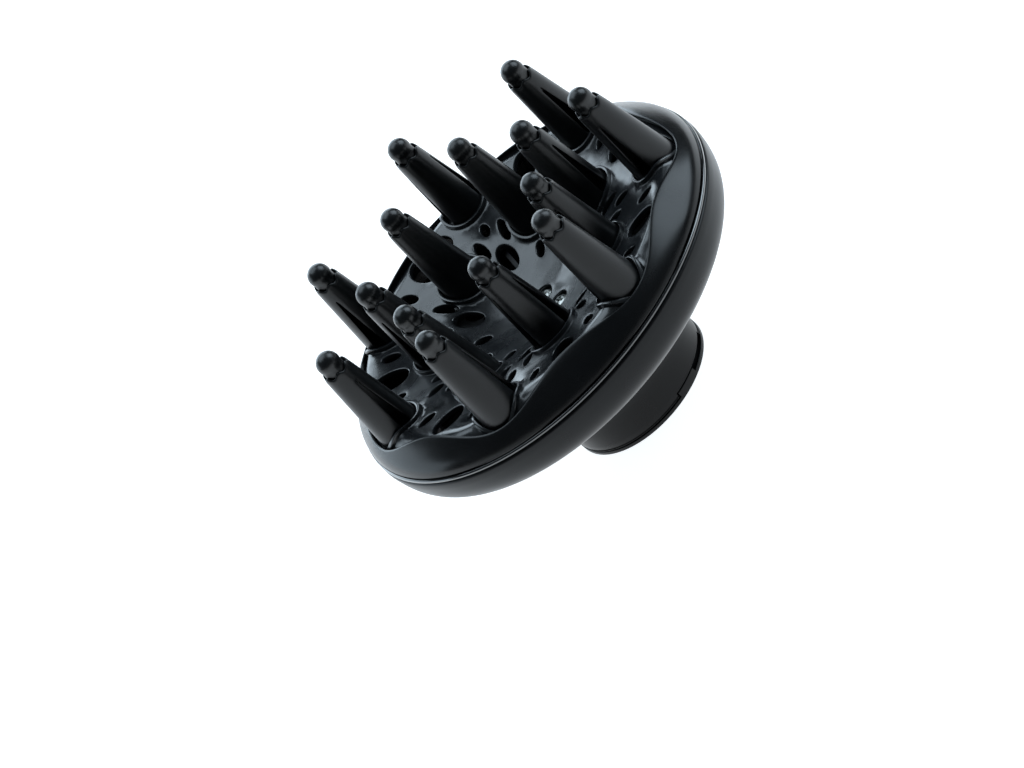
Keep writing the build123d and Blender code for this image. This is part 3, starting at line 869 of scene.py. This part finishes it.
# ---------------------------------------------------------------- fingers
@dataclass
class Finger:
    """Hollow finger with a wavy mouth, two long side slots and a domed tip held in its mouth."""

    kind: str
    rho: float
    first: float
    lean: float
    slot_angle: float
    seat_z: float
    dome_r: float = 4.39
    mouth_depth: float = 3.5
    mouth_wave: float = 0.6
    lobes: int = 6
    lobe_angle: float = 50.0
    mouth_r: float = 5.35
    base_r: float = 8.7
    taper_depth: float = 37.0
    wall_mouth: float = 0.6
    wall: float = 1.2
    divider_wall: float = 1.2
    flange: float = 1.4
    flange_r: float = 10.2
    slot_top: float = 9.95
    slot_low: float = 33.5
    slot_top_half: float = 0.35
    slot_low_half: float = 2.3
    slot_clear: float = 0.75
    wave_reach: float = 5.0
    taper_start: float = 3.1
    throat_end: float = 6.3
    web_top: float = 9.4
    web_low: float = 11.0
    stem_r: float = 2.2
    stem_end: float = 12.4
    skirt_end: float = 6.1
    edge_rings: Sequence[float] = (0.0, 0.1, 0.3)
    edge_sinks: Sequence[float] = (0.22, 0.06, 0.0)
    unroll_r: float = 7.0
    columns: int = 72
    rows: int = 30

    @property
    def tip_z(self) -> float:
        """Height of the dome's centre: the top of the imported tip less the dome's radius."""
        high = node_box(f"{self.kind}_tip_1")[1]
        return float(high[2]) - self.dome_r

    @property
    def depth(self) -> float:
        """Length of the sleeve from the dome's centre down to its seat, along the leaning axis."""
        return (self.tip_z - self.seat_z) / math.cos(math.radians(self.lean))

    def outer_r(self, s: Array) -> Array:
        """Outer radius at a depth below the dome's centre: a straight taper, then a cylinder."""
        return np.interp(s, [self.taper_start, self.taper_depth], [self.mouth_r, self.base_r])

    def inner_r(self, s: Array) -> Array:
        """Inner radius: straight in the mouth, then a taper that leaves the full wall at the base."""
        throat = self.mouth_r - self.wall_mouth
        depths = [self.taper_start, self.throat_end, self.taper_depth]
        return np.interp(s, depths, [throat, throat, self.base_r - self.wall])

    def slot_distance(self, a: Array, s: Array) -> Array:
        """Distance outside the nearer slot, which is the hull of a small circle above a large one."""
        r1, r2 = self.slot_top_half, self.slot_low_half
        length = self.slot_low - self.slot_top
        lean = (r2 - r1) / length
        rise = math.sqrt(1 - lean * lean)
        best = np.full(np.shape(a), 99.0)
        for side in (-1, 1):
            turn = a - math.radians(side * self.slot_angle)
            front = np.cos(turn) > 0
            y = np.abs(np.sin(turn)) * self.outer_r(s)
            down = s - self.slot_top
            flank = y * rise - down * lean - r1
            top = np.hypot(y, down) - r1
            low = np.hypot(y, down - length) - r2
            along = down * rise + y * lean
            d = np.where(along < 0, top, np.where(along > length * rise, low, flank))
            best = np.where(front, np.minimum(best, d), best)
        return best

    def slot_loop(self, side: int, out: float) -> Array:
        """Outline of one slot, moved outwards, as (angle, depth) points: two arcs joined by two flanks."""
        r1, r2 = self.slot_top_half + out, self.slot_low_half + out
        length = self.slot_low - self.slot_top
        tilt = math.asin((self.slot_low_half - self.slot_top_half) / length)
        cap = np.linspace(tilt, math.pi - tilt, 9)
        top = np.stack([r1 * np.cos(cap), self.slot_top - r1 * np.sin(cap)], axis=1)
        bowl = np.linspace(math.pi - tilt, 2 * math.pi + tilt, 17)
        low = np.stack([r2 * np.cos(bowl), self.slot_low - r2 * np.sin(bowl)], axis=1)
        t = np.linspace(0, 1, 18)[1:-1, None]
        left = top[-1] * (1 - t) + low[0] * t
        right = low[-1] * (1 - t) + top[0] * t
        loop = np.vstack([top, left, low, right])
        across = np.clip(loop[:, 0] / self.outer_r(loop[:, 1]), -1, 1)
        return np.stack([np.arcsin(across) + math.radians(side * self.slot_angle), loop[:, 1]], axis=1)

    def net(self) -> tuple[Array, Array]:
        """Unrolled net of the sleeve as (angle, depth) points and triangles, with the slots left out."""
        start = self.mouth_depth
        a = np.linspace(0, 2 * np.pi, self.columns + 1)
        mouth_rows = [start, start + 0.5, start + 1.2]
        s = np.concatenate([mouth_rows, np.linspace(start + 2.4, self.depth, self.rows)])
        grid_a, grid_s = (g.ravel() for g in np.meshgrid(a, s, indexing="ij"))
        on_edge = (grid_s == s[0]) | (grid_s == s[-1]) | (grid_a == a[0]) | (grid_a == a[-1])
        clear = on_edge | (self.slot_distance(grid_a, grid_s) > self.slot_clear)
        scale = np.array([self.unroll_r, 1.0])
        loose = np.stack([grid_a, grid_s], axis=1)[clear] * scale
        loops = []
        for side in (-1, 1):
            for out in self.edge_rings:
                loop = self.slot_loop(side, out)
                loop[:, 0] %= 2 * np.pi
                loops.append(loop * scale)
        points, triangles = triangulated(loose, loops)
        points = points / scale
        centre = points[triangles].mean(axis=1)
        return points, triangles[self.slot_distance(centre[:, 0], centre[:, 1]) > 0]

    def skin(self, net: Array, outside: bool, phase: float) -> Array:
        """Net wrapped round the finger: depth is pulled up and down by a cosine near the mouth, the radius
        follows the outer or inner taper, and sinks a little at every edge.

        Args:
            net: (angle, depth) points.
            outside: the outer skin, or the inner one.
            phase: angle of the finger round the plate, in degrees, which the lobes don't follow.

        Returns:
            Array: points in the finger's own frame, with the dome's centre at the origin.
        """
        a, s = net[:, 0], net[:, 1]
        fade = np.clip(1 - (s - self.mouth_depth) / self.wave_reach, 0, 1) ** 2
        wave = self.mouth_wave * np.cos(self.lobes * (a + math.radians(phase - self.lobe_angle)))
        depth = s + wave * fade
        edge = self.slot_distance(a, s)
        near_mouth = s - self.mouth_depth
        if outside:
            r = self.outer_r(s) - np.interp(edge, self.edge_rings, self.edge_sinks)
            r = r - np.interp(near_mouth, [0.0, 0.5], [0.12, 0.0])
        else:
            r = self.inner_r(s)
        return np.stack([r * np.cos(a), r * np.sin(a), -depth], axis=1)

    def sleeve(self, net: Array, triangles: Array, phase: float) -> Surface:
        """Sleeve of one finger, in its own frame.

        Args:
            net: (angle, depth) points of the unrolled sleeve.
            triangles: its faces.
            phase: angle of the finger round the plate, in degrees.

        Returns:
            Surface: the closed sleeve.
        """
        faces = as_faces(triangles)
        outside = Surface(self.skin(net, True, phase), faces)
        inside = Surface(self.skin(net, False, phase), faces).flipped()
        parts = [outside, inside]
        for side in (-1, 1):
            loop = self.slot_loop(side, 0.0)
            loop[:, 0] %= 2 * np.pi
            both = np.stack([self.skin(loop, False, phase), self.skin(loop, True, phase)])
            parts.append(grid(both, False, True))
        a = np.linspace(0, 2 * np.pi, self.columns, endpoint=False)
        mouth = np.stack([a, np.full_like(a, self.mouth_depth)], axis=1)
        outer, inner = self.skin(mouth, True, phase), self.skin(mouth, False, phase)
        crest = (outer + inner) / 2 + [0, 0, 0.16]
        flanks = [(outer * (1 - share) + inner * share) + [0, 0, 0.12] for share in (0.25, 0.75)]
        parts.append(grid(np.stack([outer, flanks[0], crest, flanks[1], inner]), False, True))
        foot = np.stack([a, np.full_like(a, self.depth)], axis=1)
        outer, inner = self.skin(foot, True, phase), self.skin(foot, False, phase)
        spread = self.flange_r / self.base_r
        wide = outer * [spread, spread, 1.0]
        drop = np.array([0, 0, self.flange])
        parts.append(grid(np.stack([inner, inner - drop, wide - drop, wide, outer]), False, True))
        body = welded(joined(parts))
        top, low = -self.web_top, -self.web_low
        web_r = float(self.inner_r((self.web_top + self.web_low) / 2)) + 0.3
        ring = [(self.stem_r, low, 0), (web_r, low, 0), (web_r, top, 0), (self.stem_r, top, 0)]
        web = turned(filleted(ring), around(48))
        return joined([body.outward(), web, self.divider()])

    def divider(self) -> Surface:
        """Wall that parts the bore between the slots: as wide as the bore's chord at each depth."""
        s = np.linspace(self.web_low, self.depth + self.flange, 14)
        half = self.divider_wall / 2
        reach = np.sqrt(self.inner_r(s) ** 2 - half**2) + 0.2
        x = reach[:, None] * [-1, 1, 1, -1]
        y = np.broadcast_to([-half, -half, half, half], x.shape)
        z = np.broadcast_to(-s[:, None], x.shape)
        sides = grid(np.stack([x, y, z], axis=-1), False, True)
        last = 4 * (len(s) - 1)
        ends = np.array([[0, 1, 2, 3], [last + 3, last + 2, last + 1, last]])
        return Surface(sides.points, np.vstack([sides.faces, ends])).outward()

    def tip(self, phase: float) -> Surface:
        """Domed tip: a sphere, a slight neck, a shoulder that follows the mouth's wave, and the stem."""
        r = self.dome_r
        dome = np.linspace(0, 90, 15)
        profile = [(r * math.sin(math.radians(t)), r * math.cos(math.radians(t))) for t in dome]
        profile += [(r - 0.02, -0.6), (r - 0.12, -1.3), (r - 0.14, -1.9), (r - 0.02, -2.5), (r, -3.1)]
        profile += [(r - 0.02, -4.5), (r, -self.skirt_end), (self.stem_r, -self.skirt_end)]
        profile += [(self.stem_r, -self.stem_end), (0.0, -self.stem_end)]
        profile = np.array(profile)
        angles = around(72)
        sections = np.repeat(profile[None], len(angles), axis=0)
        wave = np.cos(self.lobes * np.radians(angles + phase - self.lobe_angle))
        depth = -profile[:, 1]
        swell = np.interp(depth, [0.6, 1.4, 2.4, 3.4, 5.0], [0.0, 0.3, 1.0, 1.0, 0.0])
        sections[:, :, 0] += -0.16 * swell * (wave[:, None] + 0.6)
        return turned(sections, angles)

    def build(self, shop: Workshop) -> None:
        """Make the seven fingers of this kind."""
        net, triangles = self.net()
        for k in range(FOLDS):
            angle = self.first + k * PITCH
            turn = turn_z(angle) @ turn_y(-self.lean)
            place = turn_z(angle) @ np.array([self.rho, 0.0, self.tip_z])
            kind, n = self.kind, k + 1
            sleeve = self.sleeve(net, triangles, angle).moved(turn, place)
            shop.add(f"{kind}_sleeve_{n}", sleeve, Slot.FINGER, FIXED, f"{kind}_finger_{n}")
            dome = self.tip(angle).moved(turn, place)
            shop.add(f"{kind}_dome_{n}", dome, Slot.TIP, FIXED, f"{kind}_tip_{n}")


# ---------------------------------------------------------------- adapter and screws
@dataclass
class AdapterRing:
    """Ring that takes the dryer's outlet and turns in the collar: two stop lugs, four relief slots."""

    bore_r: float = 25.2
    flange_r: float = 29.95
    sleeve_r: float = 27.7
    neck_r: float = 26.6
    neck_z: tuple[float, float] = (17.7, 20.3)
    bead_r: float = 27.6
    crest_r: float = 26.0
    flange_z: float = 1.6
    lug_z: float = 3.4
    top_z: float = 22.3
    slot_z: float = 15.3
    slot_half: float = 1.1
    lug_start: float = -83.0
    lug_arc: float = 21.0

    def build(self, shop: Workshop) -> None:
        """Make the ring: the flange's top rises at the lugs and the sleeve's top sinks at the slots."""
        low, high = self.neck_z
        corners = [(self.bore_r, 0.0, 0.3), (self.flange_r, 0.0, 0.35), (self.flange_r, self.flange_z, 0.3),
                   (self.sleeve_r, self.flange_z, 0), (self.sleeve_r, self.slot_z, 0),
                   (self.sleeve_r, low, 0.2), (self.neck_r, low, 0), (self.neck_r, high, 0),
                   (self.bead_r, high, 0.2), (self.crest_r, self.top_z, 0.2),
                   (self.bore_r, self.top_z, 0.15), (self.bore_r, self.slot_z, 0)]
        section = filleted(corners)
        slots = [(k + 0.5) * 90.0 for k in range(4)]
        half = math.degrees(self.slot_half / self.sleeve_r)
        lugs = [self.lug_start, self.lug_start + 180.0]
        edges = [s + side * half for s in slots for side in (-1, 1)]
        angles = around(240, *edges, *lugs, *[s + self.lug_arc for s in lugs])
        sections = np.repeat(section[None], len(angles), axis=0)
        r, z = section.T
        lug_top = (r > self.sleeve_r - 0.01) & (z > self.flange_z / 2) & (z < self.flange_z + 0.1)
        for start in lugs:
            cut = inside_arc(angles, start, self.lug_arc)
            sections[np.ix_(cut, lug_top, [1])] += self.lug_z - self.flange_z
        upper = z > self.slot_z - 0.01
        level = np.stack([np.linspace(self.sleeve_r, self.bore_r, int(upper.sum())),
                          np.full(int(upper.sum()), self.slot_z)], axis=1)
        for centre in slots:
            cut = inside_arc(angles, centre - half, 2 * half)
            sections[np.ix_(cut, upper)] = level
        shop.add("twist_adapter_ring", turned(sections, angles), Slot.ADAPTER, MOVING, "adapter_ring")


@dataclass
class HubScrews:
    """Three pan-head screws in the middle of the plate, each with a cross recess."""

    circle_r: float = 6.6
    start: float = -55.0
    head_r: float = 3.0
    seat_z: float = 48.9
    head_height: float = 1.8
    crown: float = 0.55
    crown_power: float = 2.6
    shank_r: float = 1.43
    end_z: float = 28.5
    recess_half: float = 0.42
    recess_reach: float = 1.7
    recess_depth: float = 1.1

    def screw(self, twist: float) -> Surface:
        """One screw: a domed head, its height following sqrt(1 - share of radius to a power), pressed in
        along two crossed bars, and its shank.

        Args:
            twist: how far the recess is turned, in degrees.

        Returns:
            Surface: the closed screw, standing on the Z axis.
        """
        share = np.concatenate([np.linspace(0, 0.8, 25), np.linspace(0.84, 1.0, 8)])
        r = self.head_r * share
        crown = np.sqrt(np.clip(1 - share**self.crown_power, 0, 1))
        top = self.seat_z + self.head_height * crown * self.crown + self.head_height * (1 - self.crown)
        side = [(self.head_r, self.seat_z + 0.1), (self.head_r - 0.1, self.seat_z)]
        side += [(self.shank_r, self.seat_z), (self.shank_r, self.end_z + 0.6)]
        side += [(0.6, self.end_z), (0.0, self.end_z)]
        profile = np.vstack([np.stack([r, top], axis=1), side])
        angles = np.arange(0, 360, 3.0)
        sections = np.repeat(profile[None], len(angles), axis=0)
        a = np.radians(angles - twist)[:, None]
        x, y = np.abs(r * np.cos(a)), np.abs(r * np.sin(a))
        arm = np.maximum(np.minimum(x, y) - self.recess_half, np.maximum(x, y) - self.recess_reach)
        sections[:, : len(r), 1] -= self.recess_depth * np.clip(0.5 - arm / 0.25, 0, 1)
        return turned(sections, angles)

    def build(self, shop: Workshop) -> None:
        """Make the three screws."""
        for k in range(3):
            angle = self.start + k * 120.0
            place = turn_z(angle) @ np.array([self.circle_r, 0.0, 0.0])
            screw = self.screw(25.0 + 40.0 * k).shifted(place)
            shop.add(f"pan_head_screw_{k + 1}", screw, Slot.SCREW, FIXED, f"hub_screw_{k + 1}")


# ---------------------------------------------------------------- studio
COOL_WHITE = (0.75, 0.89, 1.0)


@dataclass
class Softbox:
    """Rectangular soft light, placed by direction from the object's middle."""

    name: str
    azimuth: float
    elevation: float
    distance: float
    width: float
    height: float
    power: float

    def build(self, target: Vector) -> None:
        """Hang the light and aim it at the target."""
        lamp = bpy.data.lights.new(self.name, "AREA")
        lamp.shape = "RECTANGLE"
        lamp.size = self.width
        lamp.size_y = self.height
        lamp.energy = self.power
        lamp.color = COOL_WHITE
        held = placed(self.name, lamp)
        a, e = math.radians(self.azimuth), math.radians(self.elevation)
        way = Vector((math.cos(a) * math.cos(e), math.sin(a) * math.cos(e), math.sin(e)))
        held.location = target + way * self.distance
        held.rotation_euler = way.to_track_quat("Z", "Y").to_euler()


@dataclass
class Studio:
    """Pale floor, soft lights and the camera."""

    camera_at: tuple[float, float, float] = (-95.8, -979.4, 577.4)
    camera_aim: tuple[float, float, float] = (-31.37, -33.3, 60.0)
    camera_roll: float = 50.23
    lens: float = 111.67
    sensor: float = 36.0
    floor_r: float = 6.0
    floor_drop: float = 0.1
    lights: Sequence[Softbox] = (
        Softbox("main_softbox", 2.0, 34.0, 1.6, 1.1, 1.1, 16.0),
        Softbox("back_softbox", 86.0, 20.0, 1.6, 1.7, 1.15, 20.0),
        Softbox("top_softbox", 100.0, 68.0, 1.5, 1.4, 1.1, 13.0),
        Softbox("left_softbox", 136.0, 12.0, 1.5, 1.5, 0.7, 6.5),
    )
    sky_strength: float = 0.04
    ceiling_strength: float = 0.15
    ceiling_spread: float = 150.0
    floor_glow: float = 1.0
    floor_tint: tuple[float, float, float] = (0.93, 0.97, 1.0)
    floor_greys: tuple[float, float] = (0.5, 0.53)

    def camera(self) -> None:
        """Camera turned about its line of sight, so that the object leans in the frame."""
        place, aim = Vector(self.camera_at) * MM, Vector(self.camera_aim) * MM
        back = (place - aim).normalized()
        right = Vector((0, 0, 1)).cross(back).normalized()
        up = back.cross(right)
        roll = math.radians(self.camera_roll)
        across = right * math.cos(roll) - up * math.sin(roll)
        upward = up * math.cos(roll) + right * math.sin(roll)
        data = bpy.data.cameras.new("camera")
        data.lens = self.lens
        data.sensor_width = self.sensor
        data.clip_start = 0.01
        data.clip_end = 50.0
        held = placed("camera", data)
        turn = Matrix((across, upward, back)).transposed()
        held.matrix_world = Matrix.Translation(place) @ turn.to_4x4()
        bpy.context.scene.camera = held

    def floor(self) -> None:
        """Wide pale disc under the object, with the faintest mottling."""
        ring = np.array([(0.0, -self.floor_drop), (self.floor_r / MM, -self.floor_drop)])
        a = np.radians(np.arange(0, 360, 6.0))[:, None]
        points = np.stack([ring[:, 0] * np.cos(a), ring[:, 0] * np.sin(a), ring[:, 1] + 0 * a], axis=-1)
        surface = welded(grid(points, True, False))
        mesh = bpy.data.meshes.new("floor")
        faces = [face[face >= 0].tolist() for face in surface.faces]
        mesh.from_pydata((surface.points * MM).tolist(), [], faces)
        made = bpy.data.materials.new("floor_paper")
        made.use_nodes = True
        nodes, links = made.node_tree.nodes, made.node_tree.links
        shader = nodes["Principled BSDF"]
        set_inputs(shader, {"Roughness": 0.9, "Specular IOR Level": 0.1,
                            "Emission Color": (*self.floor_tint, 1.0), "Emission Strength": self.floor_glow})
        place = nodes.new("ShaderNodeTexCoord")
        mottle = nodes.new("ShaderNodeTexNoise")
        set_inputs(mottle, {"Scale": 6.0})
        ramp = nodes.new("ShaderNodeValToRGB")
        for element, grey in zip(ramp.color_ramp.elements, self.floor_greys):
            element.color = (grey, grey, grey, 1)
        links.new(place.outputs["Object"], mottle.inputs["Vector"])
        links.new(mottle.outputs["Fac"], ramp.inputs["Fac"])
        links.new(ramp.outputs["Color"], shader.inputs["Base Color"])
        mesh.materials.append(made)
        held = placed("floor", mesh)

    def ceiling(self) -> None:
        """Very broad light from straight above, even over the whole floor."""
        lamp = bpy.data.lights.new("ceiling_light", "SUN")
        lamp.energy = self.ceiling_strength
        lamp.angle = math.radians(self.ceiling_spread)
        lamp.color = COOL_WHITE
        placed("ceiling_light", lamp)

    def build(self, target: Vector) -> None:
        """Set up the camera, the floor, the lights and an even white surround."""
        self.camera()
        self.floor()
        for light in self.lights:
            light.build(target)
        self.ceiling()
        world = bpy.data.worlds.new("surround")
        world.use_nodes = True
        sky = world.node_tree.nodes["Background"]
        set_inputs(sky, {"Color": (*COOL_WHITE, 1.0), "Strength": self.sky_strength})
        bpy.context.scene.world = world
        bpy.context.scene.view_settings.view_transform = "Standard"


def main() -> None:
    """Load the frame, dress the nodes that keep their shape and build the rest."""
    logging.basicConfig(level=logging.INFO, format="%(name)s: %(message)s")
    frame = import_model()
    paint = Paint()
    shop = Workshop(paint)
    plain = {"finger_carrier": Slot.INNER, "air_baffle": Slot.INNER}
    plain.update({f"carrier_screw_{k + 1}": Slot.SCREW for k in range(3)})
    for name, slot in plain.items():
        paint.dress_node(frame["nodes"][name], slot)
        log.info("%s keeps its packed shape with finish %s", name, slot.value)
    CaseShell().build(shop)
    FrontBezel().build(shop)
    TrimBead().build(shop)
    DiffuserPlate().build(shop)
    Finger("inner", rho=39.9, first=0.0, lean=0.0, slot_angle=60.0, seat_z=54.4).build(shop)
    Finger("outer", rho=63.9, first=PITCH / 2, lean=2.6, slot_angle=105.0, seat_z=56.8).build(shop)
    AdapterRing().build(shop)
    HubScrews().build(shop)
    Studio().build(Vector((0.0, 0.0, 0.06)))


if __name__ == "__main__":
    main()
